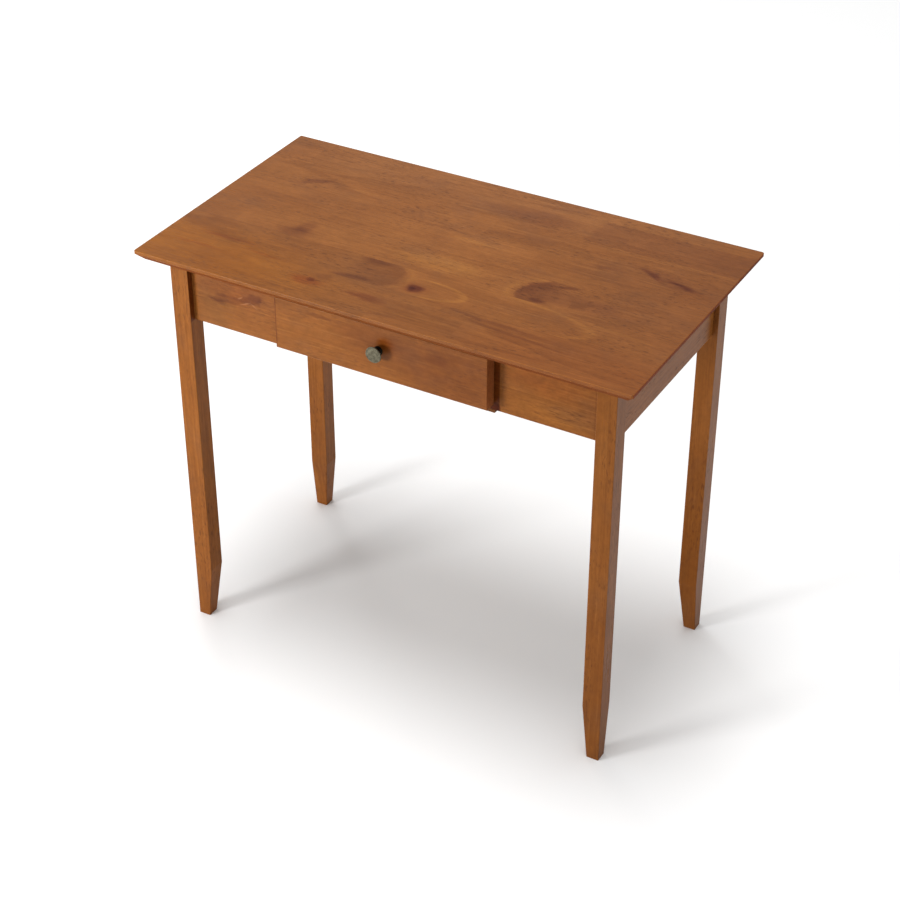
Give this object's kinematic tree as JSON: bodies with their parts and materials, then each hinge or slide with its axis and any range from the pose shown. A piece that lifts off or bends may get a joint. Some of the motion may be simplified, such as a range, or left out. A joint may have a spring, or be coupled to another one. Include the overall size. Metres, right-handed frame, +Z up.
{
  "type": "writing desk with drawer",
  "caption": "Small writing desk with a bevelled rectangular top, square legs tapered at the feet, an apron frame and a sliding drawer with a round knob.",
  "frame": {"origin": "on the floor, under the middle of the top", "axes": "+X to the right along the front, +Y from the drawer's front to the back, +Z up"},
  "size_m": [0.9, 0.502, 0.7625],
  "materials": {
    "top_wood": "stained pine, satin lacquer, knots",
    "leg_wood": "stained pine, satin lacquer, upright grain",
    "apron_wood": "stained pine, satin lacquer, level grain",
    "front_wood": "stained pine, satin lacquer, level grain",
    "inner_wood": "planed pine, unstained",
    "box_wood": "planed pine, clear sealer",
    "panel_wood": "birch plywood, unfinished",
    "dowel_wood": "beech dowel, unfinished",
    "knob_metal": "aged pewter, satin",
    "zinc_steel": "zinc plated",
    "screw_steel": "yellow zinc plated",
    "bumper_rubber": "soft clear grey pad"
  },
  "bodies": {
    "desk_frame": {"apron_back": "apron_wood", "apron_front_left": "apron_wood", "apron_front_right": "apron_wood", "apron_left": "apron_wood", "apron_right": "apron_wood", "bolt_nuts": "zinc_steel", "bolt_washers": "zinc_steel", "corner_block_back_left": "inner_wood", "corner_block_back_right": "inner_wood", "corner_block_front_left": "inner_wood", "corner_block_front_right": "inner_wood", "corner_block_screws": "screw_steel", "desk_top": "top_wood", "drawer_guide_left": "inner_wood", "drawer_guide_right": "inner_wood", "drawer_kicker_left": "inner_wood", "drawer_kicker_right": "inner_wood", "drawer_rail_lower": "apron_wood", "drawer_rail_upper": "apron_wood", "drawer_runner_left": "inner_wood", "drawer_runner_right": "inner_wood", "guide_dowels": "dowel_wood", "hanger_bolts": "zinc_steel", "leg_back_left": "leg_wood", "leg_back_right": "leg_wood", "leg_front_left": "leg_wood", "leg_front_right": "leg_wood", "rail_screws": "screw_steel", "runner_screws": "screw_steel", "top_clip_screws": "screw_steel", "top_clips": "zinc_steel"},
    "drawer": {"drawer_bottom": "panel_wood", "drawer_bottom_screws": "screw_steel", "drawer_box_back": "box_wood", "drawer_box_front": "box_wood", "drawer_bumpers": "bumper_rubber", "drawer_dowels": "dowel_wood", "drawer_front": "front_wood", "drawer_front_screws": "screw_steel", "drawer_knob": "knob_metal", "drawer_side_left": "box_wood", "drawer_side_right": "box_wood", "drawer_stop_button": "inner_wood", "knob_screw": "screw_steel", "stop_button_screw": "screw_steel"}
  },
  "joints": [
    {"name": "drawer_slide", "type": "slide", "parent": "desk_frame", "child": "drawer", "axis": [0, -1, 0], "range_m": [0, 0.2976]}
  ]
}
